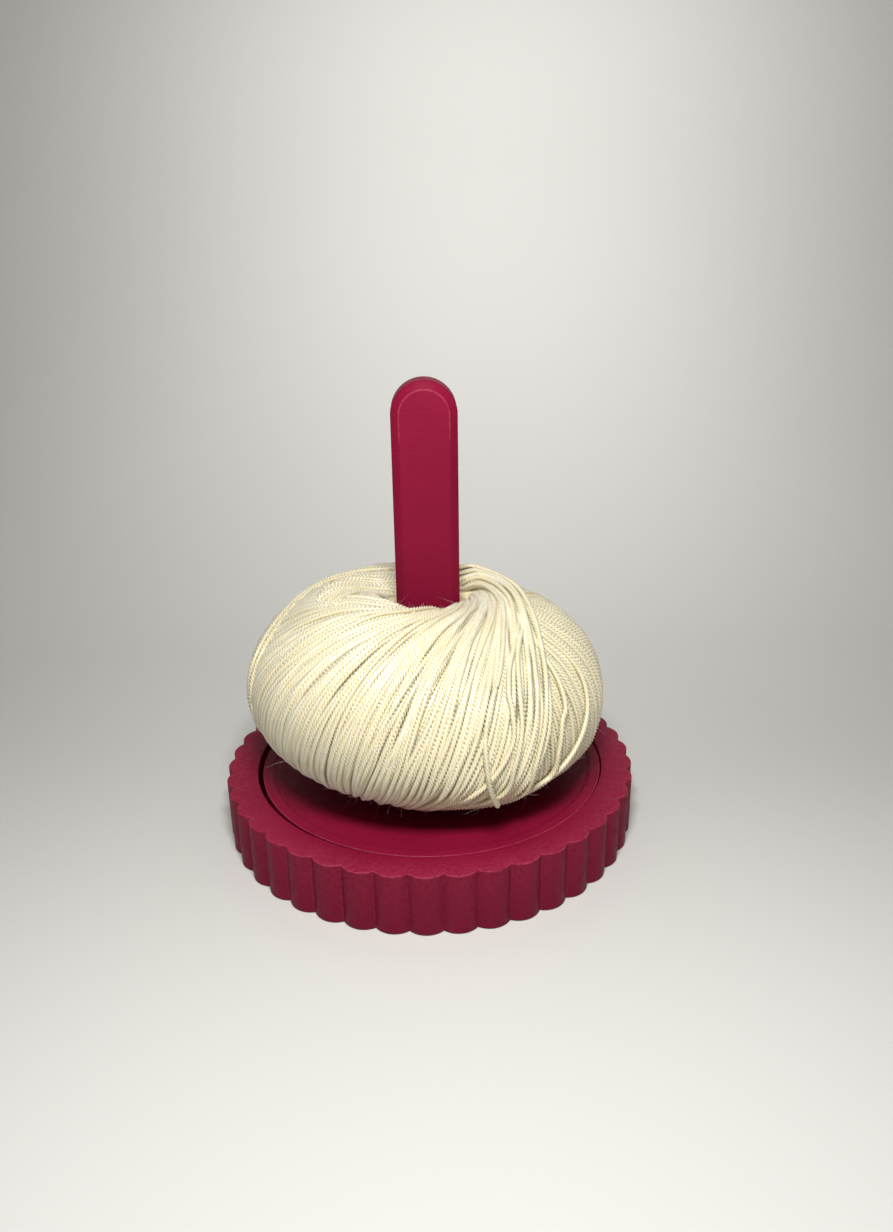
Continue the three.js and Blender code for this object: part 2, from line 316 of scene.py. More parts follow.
class Nodes:
    """A short way to write a material's nodes."""

    def __init__(self, name):
        self.material = bpy.data.materials.new(name)
        self.material.use_nodes = True
        self.tree = self.material.node_tree
        self.shader = self.tree.nodes["Principled BSDF"]

    def add(self, kind, **settings):
        node = self.tree.nodes.new("ShaderNode" + kind)
        for key, value in settings.items():
            setattr(node, key, value)
        return node

    def plug(self, value, socket):
        """Links an output, or sets a plain number or colour."""
        if isinstance(value, bpy.types.NodeSocket):
            self.tree.links.new(value, socket)
        else:
            socket.default_value = value

    def feed(self, node, **values):
        """Plugs values into a node's sockets by name, with _ for each space."""
        for name, value in values.items():
            self.plug(value, node.inputs[name.replace("_", " ")])

    def math(self, operation, a, b=0.0):
        """The result of a math node."""
        node = self.add("Math", operation=operation)
        for value, socket in zip((a, b), node.inputs):
            self.plug(value, socket)
        return node.outputs[0]

    def attribute(self, name):
        return self.add("Attribute", attribute_name=name).outputs["Fac"]

    def noise(self, vector, scale, detail=2.0):
        node = self.add("TexNoise")
        self.feed(node, Vector=vector, Scale=scale, Detail=detail)
        return node.outputs["Fac"]

    def remap(self, value, low, high, to_low, to_high):
        node = self.add("MapRange", interpolation_type="SMOOTHSTEP")
        for socket, number in zip(node.inputs, (value, low, high, to_low, to_high)):
            self.plug(number, socket)
        return node.outputs[0]

    def mix(self, kind, first_input, output, factor, a, b):
        node = self.add("Mix", data_type=kind)
        for i, value in ((0, factor), (first_input, a), (first_input + 1, b)):
            self.plug(value, node.inputs[i])
        return node.outputs[output]

    def mix_number(self, factor, a, b):
        return self.mix("FLOAT", 2, 0, factor, a, b)

    def mix_colour(self, factor, a, b):
        return self.mix("RGBA", 6, 2, factor, a, b)

    def split(self, vector):
        node = self.add("SeparateXYZ")
        self.plug(vector, node.inputs[0])
        return node.outputs

    def bands(self, value, scale, detail=2.0):
        """Noise that changes along one direction only."""
        node = self.add("TexNoise", noise_dimensions="1D")
        self.feed(node, W=value, Scale=scale, Detail=detail)
        return node.outputs["Fac"]

    def bump(self, height, distance, strength):
        node = self.add("Bump")
        self.feed(node, Strength=strength, Distance=distance, Height=height)
        return node.outputs["Normal"]


def colour(r, g, b):
    """A linear colour from its 0 to 255 screen values."""
    def linear(v):
        v /= 255
        return v / 12.92 if v <= 0.04045 else ((v + 0.055) / 1.055) ** 2.4
    return (linear(r), linear(g), linear(b), 1.0)


# ---- materials ----

LAYER_HEIGHT = 0.28 * MM
HATCH_PITCH = 0.62 * MM
HATCH_ANGLE = math.radians(45)
FIBRE_STRETCH = (420, 26, 1)  # how fine the yarn's fibres are along each of its UV directions
FIBRE_SLANT = 0.35  # radians
CRIMSON, LIGHT_CRIMSON, SHADED_CRIMSON = colour(126, 13, 46), colour(136, 17, 53), colour(86, 6, 34)
RIDGE_PINK, HIGHLIGHT_AND_WEAR_PINK = colour(146, 28, 63), colour(192, 78, 104)
YARN_WHITE, YARN_IVORY = colour(253, 251, 236), colour(250, 247, 227)
YARN_LIGHT_SHADE, YARN_DEEP_SHADE, YARN_SHINE = colour(241, 229, 183), colour(212, 194, 142), colour(255, 253, 245)
RUBBER_BLACK, RUBBER_DUST = colour(26, 26, 27), colour(66, 63, 60)
STEEL_TINT, ZINC_TINT = (0.62, 0.63, 0.65, 1), (0.55, 0.56, 0.57, 1)
PAPER_TINT, PAPER_LIGHT = (0.74, 0.735, 0.715, 1), (0.76, 0.755, 0.735, 1)


def printed_plastic(name):
    """Crimson printed plastic: layer lines on upright walls, fine parallel lines on flat tops,
    paler on marked edges, where painted highlight and wear show, and darker low down on the walls, with
    painted shade."""
    n = Nodes(name)
    coords = n.add("TexCoord")
    place, facing = coords.outputs["Object"], coords.outputs["Normal"]
    x, y, z = n.split(place)
    flat = n.remap(n.math("ABSOLUTE", n.split(facing)[2]), 0.6, 0.9, 0.0, 1.0)

    layer_wave = n.math("SINE", n.math("MULTIPLY", z, 2 * math.pi / LAYER_HEIGHT))
    layer_noise = n.bands(z, 1 / (2.2 * LAYER_HEIGHT), 3)
    layers = n.math("ADD", n.math("MULTIPLY", layer_wave, 0.25), layer_noise)

    from_x = n.math("MULTIPLY", x, math.sin(HATCH_ANGLE))
    from_y = n.math("MULTIPLY", y, -math.cos(HATCH_ANGLE))
    along = n.math("ADD", from_x, from_y)
    wobble = n.math("MULTIPLY", n.noise(place, 60, 1), 0.5 * MM)
    turns = n.math("MULTIPLY", n.math("ADD", along, wobble), 2 * math.pi / HATCH_PITCH)
    hatch = n.math("SINE", turns)
    hatches = n.math("ADD", n.math("MULTIPLY", hatch, 0.3), n.bands(along, 1 / (3 * HATCH_PITCH)))

    relief = n.mix_number(flat, layers, hatches)
    height = n.math("ADD", relief, n.math("MULTIPLY", n.noise(place, 2600), 0.35))

    blotch = n.remap(n.noise(place, 55, 3), 0.2, 0.8, 0.0, 1.0)
    body = n.mix_colour(blotch, CRIMSON, LIGHT_CRIMSON)
    streak = n.remap(relief, 0.2, 0.9, 0.0, 0.28)
    body = n.mix_colour(streak, body, RIDGE_PINK)
    patchy = n.remap(n.noise(place, 900), 0.35, 0.6, 0.25, 0.8)
    # painted highlight and wear: marked edges turn paler pink
    body = n.mix_colour(n.math("MULTIPLY", n.attribute("edge"), patchy), body, HIGHLIGHT_AND_WEAR_PINK)
    # painted shade: upright walls are darker towards the bottom
    low_down = n.remap(z, 20 * MM, 160 * MM, 0.42, 0.0)
    upright = n.math("SUBTRACT", 1.0, flat)
    body = n.mix_colour(n.math("MULTIPLY", low_down, upright), body, SHADED_CRIMSON)
    rough = n.remap(n.noise(place, 400, 3), 0.3, 0.7, 0.46, 0.6)
    n.feed(n.shader, Base_Color=body, Roughness=rough, Specular_IOR_Level=0.1,
           Normal=n.bump(height, 0.05 * MM, 0.8))
    return n.material


def metal(name, tint, roughness, streaks):
    """Ground or plated steel, with fine turning marks round the axis and faint blotches."""
    n = Nodes(name)
    place = n.add("TexCoord").outputs["Object"]
    x, y, z = n.split(place)
    x_squared = n.math("POWER", n.math("SUBTRACT", x, ROTOR_X), 2.0)
    radius = n.math("SQRT", n.math("ADD", x_squared, n.math("POWER", y, 2.0)))
    marks = n.bands(n.math("ADD", radius, z), streaks)
    blotch = n.remap(n.noise(place, 500, 3), 0.3, 0.75, 0.0, 0.6)
    darker = tuple(0.72 * v for v in tint[:3]) + (1.0,)
    rough = n.remap(marks, 0.3, 0.7, roughness * 0.7, roughness * 1.4)
    n.feed(n.shader, Base_Color=n.mix_colour(blotch, tint, darker), Roughness=rough, Metallic=1.0,
           Normal=n.bump(marks, 0.01 * MM, 0.5))
    return n.material


def rubber(name):
    """Matte black rubber with a fine pebble grain and dusty patches."""
    n = Nodes(name)
    place = n.add("TexCoord").outputs["Object"]
    dust = n.remap(n.noise(place, 900, 4), 0.45, 0.8, 0.0, 1.0)
    n.feed(n.shader, Base_Color=n.mix_colour(dust, RUBBER_BLACK, RUBBER_DUST),
           Roughness=n.remap(dust, 0.0, 1.0, 0.72, 0.95),
           Normal=n.bump(n.noise(place, 5200), 0.05 * MM, 0.7))
    return n.material


def yarn(name):
    """Cream plied yarn with fine fibres, and painted shade that makes the grooves between plies and
    the strands' undersides darker and warmer than each ply's crown. Pale flecks of painted sheen lie
    along the fibres, which run at a slant to the strand, so they follow its plies."""
    n = Nodes(name)
    coords = n.add("TexCoord")
    stretch = n.add("Mapping")
    n.feed(stretch, Vector=coords.outputs["UV"], Scale=FIBRE_STRETCH, Rotation=(0, 0, FIBRE_SLANT))
    fibres = n.noise(stretch.outputs[0], 1.0)
    depth = n.attribute("groove")
    patch = n.remap(n.noise(coords.outputs["Object"], 90), 0.3, 0.7, 0.0, 1.0)
    body = n.mix_colour(patch, YARN_WHITE, YARN_IVORY)
    # painted shade: the grooves between plies and the strands' undersides turn darker and warmer
    body = n.mix_colour(n.remap(depth, 0.1, 0.55, 0.0, 1.0), body, YARN_LIGHT_SHADE)
    body = n.mix_colour(n.remap(depth, 0.6, 1.0, 0.0, 1.0), body, YARN_DEEP_SHADE)
    body = n.mix_colour(n.remap(fibres, 0.35, 0.75, 0.0, 0.3), body, YARN_SHINE)
    n.feed(n.shader, Base_Color=body, Roughness=n.remap(fibres, 0.3, 0.7, 0.22, 0.4),
           Normal=n.bump(fibres, 0.05 * MM, 0.6), Specular_IOR_Level=0.5,
           Sheen_Weight=0.08, Sheen_Roughness=0.4)
    return n.material


PLASTIC = printed_plastic("printed_plastic")
YARN = yarn("yarn")
CAD_FINISH = {
    "bearing_steel": metal("bearing_steel", STEEL_TINT, 0.2, 9000),
    "zinc_steel": metal("zinc_steel", ZINC_TINT, 0.38, 5000),
    "foot_rubber": rubber("foot_rubber"),
}


def dress_cad_nodes():
    """Gives each CAD node that stays its slot's material."""
    for part in frame["record"]["subparts"]:
        finish = CAD_FINISH.get(part["material_slot"])
        if finish is None:
            continue
        node = frame["nodes"][part["node"]]
        node.data.materials.clear()
        node.data.materials.append(finish)


def place_piece(obj, material, body, slot, *nodes):
    """Dresses a piece, fixes it to its body and lets it stand for its CAD nodes."""
    obj.data.materials.clear()
    obj.data.materials.append(material)
    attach(obj, body)
    if nodes:
        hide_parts(*nodes)


# ---- strands ----

STRAND_SIDES = 8
PLIES = 4
PLY_LEAD = 5.4 * MM  # one full twist of the plies
PLY_DEPTH = 0.25  # of the strand's radius, each way
STRAND_STEP = 0.55 * MM
# Slow waves along a strand: how far, the run for each radian and how its phase shifts them.
TWIST_DRIFTS = ((0.5, 7.3 * MM, 3), (0.35, 3.1 * MM, 5))  # in radians
SIZE_DRIFT = (0.05, 2.7 * MM, 7)  # as a share of the radius
END_SIZE = 0.35  # of the radius, where a strand starts and stops
SWOLLEN_TIP = (1.03, 1.08, 1.14, 1.12)
UNDERSIDE_SHADE = 0.55  # how much painted shade a strand's underside gets, as a share of the full shade in the grooves
UNDERSIDE_EDGE = 0.55  # how far up its side that starts, as a share of the radius


class StrandBatch:
    """Collects twisted strands into one mesh."""

    def __init__(self):
        self.verts, self.quads, self.groove, self.uv, self.count = [], [], [], [], 0

    def add(self, points, normals, phase=0.0, swell_end=False):
        """One strand along points, which are a step apart. normals point off its surface."""
        points, normals = np.asarray(points, float), np.asarray(normals, float)
        rows = len(points)
        tangent = np.gradient(points, axis=0)
        tangent /= np.linalg.norm(tangent, axis=1)[:, None]
        out = normals - (normals * tangent).sum(1)[:, None] * tangent
        out /= np.linalg.norm(out, axis=1)[:, None]
        side = np.cross(tangent, out)
        run = run_along(points)
        ring = np.arange(STRAND_SIDES) * 2 * math.pi / STRAND_SIDES
        drift = sum(by * np.sin(run / wave + shift * phase) for by, wave, shift in TWIST_DRIFTS)
        turn = ring[None] - (run / PLY_LEAD * 2 * math.pi + phase + drift)[:, None]
        lobe = np.cos(PLIES * ring)[None]
        by, wave, shift = SIZE_DRIFT
        size = STRAND_RADIUS * (1 + by * np.sin(run / wave + shift * phase))
        taper = np.minimum(np.minimum(np.arange(rows), np.arange(rows)[::-1]), 2) / 2
        size *= END_SIZE + (1 - END_SIZE) * np.sqrt(taper)
        if swell_end:
            size[-1 - len(SWOLLEN_TIP):-1] *= SWOLLEN_TIP
        reach = size[:, None] * (1 - PLY_DEPTH + PLY_DEPTH * lobe)
        verts = points[:, None] + reach[..., None] * (
            np.cos(turn)[..., None] * out[:, None] + np.sin(turn)[..., None] * side[:, None])
        grid = self.count + np.arange(rows * STRAND_SIDES).reshape(rows, STRAND_SIDES)
        cap = np.array([(0, 1, 2, 3), (3, 6, 7, 0), (3, 4, 5, 6)])
        caps = [*grid[0][cap[:, ::-1]], *grid[-1][cap]]
        start, end = np.repeat(run[:-1], STRAND_SIDES), np.repeat(run[1:], STRAND_SIDES)
        left = np.tile(np.arange(STRAND_SIDES), rows - 1) / STRAND_SIDES
        right = left + 1 / STRAND_SIDES
        uv = np.stack([start, left, start, right, end, right, end, left], -1).reshape(-1, 4, 2)
        self.verts.append(verts.reshape(-1, 3))
        self.quads += [ring_quads(grid), np.array(caps)]
        self.uv += [uv, np.zeros((len(caps), 4, 2))]
        # painted shade on the strand's underside, and in the grooves between its plies
        underside = np.clip(UNDERSIDE_EDGE - np.cos(turn), 0, 1)
        self.groove.append(np.maximum(0.5 - 0.5 * lobe, UNDERSIDE_SHADE * underside).ravel())
        self.count += rows * STRAND_SIDES

    def build(self, name):
        obj = quad_object(name, np.concatenate(self.verts), np.concatenate(self.quads))
        vertex_value(obj, "groove", np.concatenate(self.groove))
        layer = obj.data.uv_layers.new(name="strand")
        layer.data.foreach_set("uv", np.concatenate(self.uv).astype(np.float32).ravel())
        return obj


def smooth_route(points, pieces=12):
    """A curve through all the points, with a Catmull-Rom piece between each two."""
    p = np.array([2 * np.array(points[0]) - np.array(points[1]), *map(np.array, points),
                  2 * np.array(points[-1]) - np.array(points[-2])])
    t = np.linspace(0, 1, pieces, endpoint=False)[:, None]
    out = [0.5 * (2 * b + (c - a) * t + (2 * a - 5 * b + 4 * c - d) * t ** 2
                  + (3 * b - a - 3 * c + d) * t ** 3)
           for a, b, c, d in zip(p, p[1:], p[2:], p[3:])]
    return np.concatenate(out + [p[-2:-1]])


# ---- the loose end of the yarn ----


def add_tail():
    """The yarn's loose end, lying down the front of the ball, cut off at its tip."""
    route = evenly_spaced(smooth_route(TAIL_ROUTE), STRAND_STEP)
    middle = np.array([(ball_low.x + ball_high.x) / 2, 0, (ball_low.z + ball_high.z) / 2])
    batch = StrandBatch()
    batch.add(route, route - middle, swell_end=True)
    tail = batch.build("yarn_loose_end")
    place_piece(tail, YARN, "yarn", "yarn", "yarn_tail")


add_tail()

# ---- studio ----

BACK_FLOOR = 0.15  # how far the floor runs back before it curves up
BACK_BEND = 0.27
WALL_TOP = 0.65
FRONT_STRETCH = 2.9  # how much further off the wall is in front than behind
BOWL_SIDES = 160
BEND_STEPS = 32
PLAN_POWER = 6  # how straight the wall behind runs before it turns forward
WARM_WHITE = (1, 0.985, 0.955)
# Rectangular area lights: name, place, target, width, depth, watts and spread in degrees.
SOFTBOXES = (
    ("key_light", (0.0, -0.255, 0.365), (0, -0.1, 0), 0.12, 0.07, 1.68, 180),
    ("wall_light", (0.055, 0.08, 0.44), (0.06, 0.42, 0.18), 0.3, 0.1, 0.58, 122),
    ("room_light", (0, -0.6, 0.5), (0, -1.2, 0.3), 1.2, 0.4, 1.1, 160),
)
AIR_TINT, AIR_STRENGTH = (0.95, 0.97, 1.0, 1), 0.07


def paper(name):
    """Matte off-white paper with a faint change of tone across it."""
    n = Nodes(name)
    place = n.add("TexCoord").outputs["Object"]
    tone = n.remap(n.noise(place, 3), 0.3, 0.7, 0.0, 1.0)
    n.feed(n.shader, Base_Color=n.mix_colour(tone, PAPER_TINT, PAPER_LIGHT), Roughness=0.8,
           Specular_IOR_Level=0.2)
    return n.material


def add_bowl():
    """A pale floor that curves up into a pale wall all round: straight and near behind the
    object, far off in front of it, and open at the top."""
    bend = [(BACK_FLOOR + BACK_BEND * math.sin(a), BACK_BEND * (1 - math.cos(a)))
            for a in np.linspace(0, math.pi / 2, BEND_STEPS + 1)]
    line = [(BACK_FLOOR / 2, 0.0), *bend, (BACK_FLOOR + BACK_BEND, WALL_TOP)]
    angles = np.linspace(0, 2 * math.pi, BOWL_SIDES, endpoint=False)
    behind = np.maximum(np.sin(angles), 0)
    nearness = (behind ** PLAN_POWER + FRONT_STRETCH ** -PLAN_POWER) ** (1 / PLAN_POWER)
    verts = np.concatenate([ring_points(r / nearness, z, angles) for r, z in line] + [[[0, 0, 0]]])
    grid = np.arange(len(line) * BOWL_SIDES).reshape(-1, BOWL_SIDES)
    faces = ring_quads(grid)[:, [0, 3, 2, 1]].tolist() + fan(grid[0], grid.size)
    bowl = mesh_object("studio_bowl", verts, faces)
    bowl.data.materials.append(paper("studio_paper"))


def add_studio():
    """The floor and wall, three soft lights, and a faint light from all round."""
    add_bowl()
    for name, place, target, width, depth, power, spread in SOFTBOXES:
        data = bpy.data.lights.new(name, "AREA")
        data.spread = math.radians(spread)
        data.shape, data.size, data.size_y = "RECTANGLE", width, depth
        data.energy, data.color = power, WARM_WHITE
        light = linked(name, data)
        light.location = place
        light.rotation_euler = (Vector(target) - Vector(place)).to_track_quat("-Z", "Y").to_euler()
    world = bpy.data.worlds.new("studio_air")
    world.use_nodes = True
    background = world.node_tree.nodes["Background"]
    background.inputs["Color"].default_value = AIR_TINT
    background.inputs["Strength"].default_value = AIR_STRENGTH
    bpy.context.scene.world = world
    bpy.context.scene.view_settings.view_transform = "Standard"


add_studio()

# ---- printed base ----

LOBE_COLUMNS = 16
EDGE_ROUND = 0.45 * MM
# a little painted highlight along the base's cusps
CUSP_HIGHLIGHT = 0.35


def lobed(angles, radius):
    """Ring radii: circles inside the recess, and on the outside arcs that meet in cusps.
    A smaller radius keeps the same arcs, moved in by the same amount."""
    if radius < RECESS_RADIUS + 2 * EDGE_ROUND:
        return np.full(len(angles), radius)
    half = math.pi / LOBES
    half_chord = CUSP_RADIUS * math.sin(half)
    rise = TIP_RADIUS - CUSP_RADIUS * math.cos(half)
    lobe = (half_chord ** 2 + rise ** 2) / (2 * rise)
    centre = TIP_RADIUS - lobe
    off = (angles - FIRST_CUSP) % (2 * half) - half
    outer = centre * np.cos(off) + np.sqrt(lobe ** 2 - (centre * np.sin(off)) ** 2)
    return outer - (TIP_RADIUS - radius)


def add_base():
    """The base: a lobed ring and floor, the bearing's boss and seat, and the feet's pockets."""
    low, top = base_low.z, base_high.z
    outline = filleted([
        (RECESS_RADIUS, FLOOR_TOP), (RECESS_RADIUS, top), (TIP_RADIUS, top), (TIP_RADIUS, low),
        (ACCESS_RADIUS, low), (ACCESS_RADIUS, FLOOR_TOP)], EDGE_ROUND, 4)
    columns = LOBES * LOBE_COLUMNS
    shell = recalculated(turned("base", outline, columns, lobed, FIRST_CUSP))
    boss = cylinder("boss", BOSS_RADIUS, FLOOR_TOP - CUT, BOSS_TOP, 96, ROTOR_X)
    combine(shell, boss, "UNION")
    seat = cylinder("seat", SEAT_RADIUS, SEAT_FLOOR, BOSS_TOP + CUT, 96, ROTOR_X)
    access = cylinder("access", ACCESS_RADIUS, -CUT, SEAT_FLOOR + CUT / 2, 72, ROTOR_X)
    pockets = []
    for i in range(FEET):
        pad_low, pad_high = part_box(f"foot_pad_{i + 1}")
        middle = (pad_low + pad_high) / 2
        pockets.append(cylinder("pocket", POCKET_RADIUS, -CUT, POCKET_TOP, 48, middle.x, middle.y))
    for cut in (seat, access, *pockets):
        combine(shell, cut, "DIFFERENCE")
    sharp_where_angled(shell)
    mark_rounded_edges(shell, top)
    place_piece(shell, PLASTIC, "housing", "printed_plastic", "base_body")


def mark_rounded_edges(shell, top):
    """Stores each vertex's painted highlight and wear: most on the lobes' upper rim, and a little painted
    highlight on the cusps.
    """
    co = vertex_places(shell)
    radius = np.hypot(co[:, 0], co[:, 1])
    near_top = ramp(abs(top - co[:, 2] - 0.3 * EDGE_ROUND), EDGE_ROUND, 0)
    angles = np.arctan2(co[:, 1], co[:, 0])
    gap = lobed(angles, TIP_RADIUS) - radius
    near_rim = ramp(abs(gap - 0.3 * EDGE_ROUND), 1.2 * EDGE_ROUND, 0)
    half = math.pi / LOBES
    off = (angles - FIRST_CUSP + half) % (2 * half) - half
    on_cusp = (abs(off) < 0.2 * half / LOBE_COLUMNS) & (gap < 0.1 * MM)
    vertex_value(shell, "edge", np.maximum(near_top * near_rim, CUSP_HIGHLIGHT * on_cusp))


# ---- turntable ----

TABLE_ROUND = 0.35 * MM
# how wide the band on the rim's edge is that gets painted highlight and wear
HIGHLIGHT_AND_WEAR_WIDTH = 0.3 * MM


def add_turntable():
    """The turntable: a dished disc with a raised rim, its hub and stub shaft, and their holes."""
    top, low = table_high.z, table_low.z
    near_axis = PILOT_RADIUS / 2
    outline = [(0, low)] + filleted([
        (near_axis, low), (STUB_RADIUS, low), (STUB_RADIUS, SHOULDER), (SHOULDER_RADIUS, SHOULDER),
        (SHOULDER_RADIUS, HUB_BOTTOM), (HUB_RADIUS, HUB_BOTTOM), (HUB_RADIUS, PLATE_BOTTOM),
        (TABLE_RADIUS, PLATE_BOTTOM), (TABLE_RADIUS, top), (RIM_INNER, top), (DISH_RADIUS, DISH_FLOOR),
        (near_axis, DISH_FLOOR)], TABLE_ROUND) + [(0, DISH_FLOOR)]
    disc = recalculated(solid_of_revolution("turntable_disc", outline, 240, ROTOR_X))
    socket = block("socket", *SOCKET, DISH_FLOOR + CUT, ROTOR_X)
    pilot = cylinder("pilot", PILOT_RADIUS, low - CUT, PILOT_END, 48, ROTOR_X)
    for cut in (socket, pilot):
        combine(disc, cut, "DIFFERENCE")
    sharp_where_angled(disc)
    co = vertex_places(disc)
    radius = np.hypot(co[:, 0] - ROTOR_X, co[:, 1])
    on_rim = (abs(radius - TABLE_RADIUS) < HIGHLIGHT_AND_WEAR_WIDTH) & (top - co[:, 2] < HIGHLIGHT_AND_WEAR_WIDTH)
    # painted highlight and wear round the rim's outer edge
    vertex_value(disc, "edge", on_rim)
    place_piece(disc, PLASTIC, "rotor", "printed_plastic", "turntable")


# ---- spindle ----

ARCH_STEPS = 64
UPRIGHT_STEPS = 40
SECTION_ROUND = 0.5 * MM
SECTION_REACH = 8 * MM  # how far in from the side the chamfered section is drawn
# The chamfer's edge gets a painted highlight, only round the arch at the top, above this height.
HIGHLIGHT_ABOVE = 141 * MM
CREASE_NEAR, CREASE_FAR = 0.02 * MM, 0.25 * MM  # where the chamfer's edge lies, in from the faces
CREASE_HIGHLIGHT = 0.5
BLADE_CREASE = 24  # degrees


def spindle_ring(inset, y):
    """The spindle's outline, moved in by inset, as one closed loop at depth y."""
    half = (spindle_high.x - spindle_low.x) / 2
    spring = spindle_high.z - half
    radius = half - inset
    side = np.linspace(SPINDLE_SHOULDER, spring, UPRIGHT_STEPS, endpoint=False)
    angles = np.linspace(0, math.pi, ARCH_STEPS + 1)
    right = [(radius, z) for z in side]
    arch = [(radius * math.cos(a), spring + radius * math.sin(a)) for a in angles]
    left = [(-radius, z) for z in side[::-1]]
    return [(ROTOR_X + x, y, z) for x, z in right + arch + left]


def add_spindle():
    """The spindle: a chamfered blade with a round top, and the tenon under it."""
    half_depth = (spindle_high.y - spindle_low.y) / 2
    past = SECTION_REACH + CUT
    section = filleted([
        (past, -half_depth), (CHAMFER_WIDTH, -half_depth), (0, CHAMFER_DEPTH - half_depth),
        (0, half_depth - CHAMFER_DEPTH), (CHAMFER_WIDTH, half_depth), (past, half_depth)],
        SECTION_ROUND, 4)
    rings = [spindle_ring(inset, y) for inset, y in section if inset < SECTION_REACH]
    sides = len(rings[0])
    middle = sides // 2
    grid = np.arange(len(rings) * sides).reshape(-1, sides)
    faces = ring_quads(grid).tolist()
    for ring in (grid[0], grid[-1]):
        # strips across the face, from one upright to the other
        faces += [[ring[i], ring[i + 1], ring[sides - 2 - i], ring[sides - 1 - i]]
                  for i in range(middle - 1)]
        faces.append([ring[middle - 1], ring[middle], ring[middle + 1]])
    verts = np.array(rings).reshape(-1, 3)
    blade = recalculated(mesh_object("spindle_blade", verts, faces))
    tenon = block("tenon", *TENON, spindle_low.z, SPINDLE_SHOULDER + CUT, ROTOR_X)
    combine(blade, tenon, "UNION")
    sharp_where_angled(blade, BLADE_CREASE)
    co = vertex_places(blade)
    depth = abs(co[:, 1])
    on_crease = (depth < half_depth - CREASE_NEAR) & (depth > half_depth - CREASE_FAR)
    # painted highlight along the chamfer's edge
    vertex_value(blade, "edge", CREASE_HIGHLIGHT * on_crease * (co[:, 2] > HIGHLIGHT_ABOVE))
    place_piece(blade, PLASTIC, "spindle", "printed_plastic", "spindle")


# ---- the ball's shape ----

BALL = {
    "radius": 63 * MM, "middle": 52.4 * MM, "rise": 41 * MM, "drop": 32.2 * MM,
    "upper_power": 2.17, "lower_power": 2.36, "lip_radius": 30 * MM, "hole_radius": 14 * MM,
    "top_lip": 85.5 * MM, "bottom_lip": 26 * MM, "lip_round": 3 * MM,
    "top_swell": 1.5 * MM, "bottom_swell": 0.5 * MM, "shift_x": -0.9 * MM, "lean": 0.066,
}
SIDE_POINTS, LIP_STEPS = 240, 29
OUTLINE_STEP = 0.5 * MM
OUTLINE_SMOOTHING = 6  # steps each way
HOLE_SQUASH = 0.38  # how much the yarn closes in on the spindle's flat faces
LEFT_SQUASH = 0.15  # and on its left side
SQUASH_REACH = 7 * MM
FRONT_DIP = 2.2 * MM  # how far the hole's front rim sags
DIP_REACH = 14 * MM
REST_HEIGHT = DISH_FLOOR + 1.12 * STRAND_RADIUS  # no strand's middle goes lower

# Where the ball isn't quite round: depth in mm, angle and its spread in degrees, run and its
# spread in mm. A negative depth swells out.
DENTS = [
    (5.4, 32, 30, 26, 10), (-1.6, 58, 26, 9, 8), (-1.5, 5, 50, 55, 24),
    (2.3, 185, 34, 40, 18), (1.9, -97, 45, 90, 14), (6.2, 135, 45, 11, 14),
]


def ball_outline():
    """Radius and height along the ball's outside, from the top rim down to the bottom rim."""
    b = BALL

    def outside(angle):
        upper = angle > 0
        power = 2 / (b["upper_power"] if upper else b["lower_power"])
        height = (b["rise"] if upper else -b["drop"]) * abs(math.sin(angle)) ** power
        return b["radius"] * math.cos(angle) ** power, b["middle"] + height

    def lip(start, swell, end):
        corner = np.array([b["hole_radius"] + b["lip_round"], start[1] + swell])
        return arc(start, corner, np.array([b["hole_radius"], end]), LIP_STEPS)[1:]

    high, low = (math.acos((b["lip_radius"] / b["radius"]) ** (b[power] / 2))
                 for power in ("upper_power", "lower_power"))
    side = np.array([outside(a) for a in np.linspace(high, -low, SIDE_POINTS)])
    top = lip(side[0], b["top_swell"], b["top_lip"])[::-1]
    bottom = lip(side[-1], -b["bottom_swell"], b["bottom_lip"])
    return np.concatenate([top, side, bottom])


def wrapped(degrees, start):
    """The same angle, brought between start and a full turn past it."""
    return (degrees - start) % 360 + start


def dent_at(run, angle):
    """How far in the ball's outside is at a run and an angle, past its round shape."""
    total = 0.0
    for depth, middle, spread, run_middle, run_spread in DENTS:
        off = wrapped(np.degrees(angle) - middle, -180)
        total = total + depth * MM * hump(off, spread) * hump(run / MM - run_middle, run_spread)
    return total


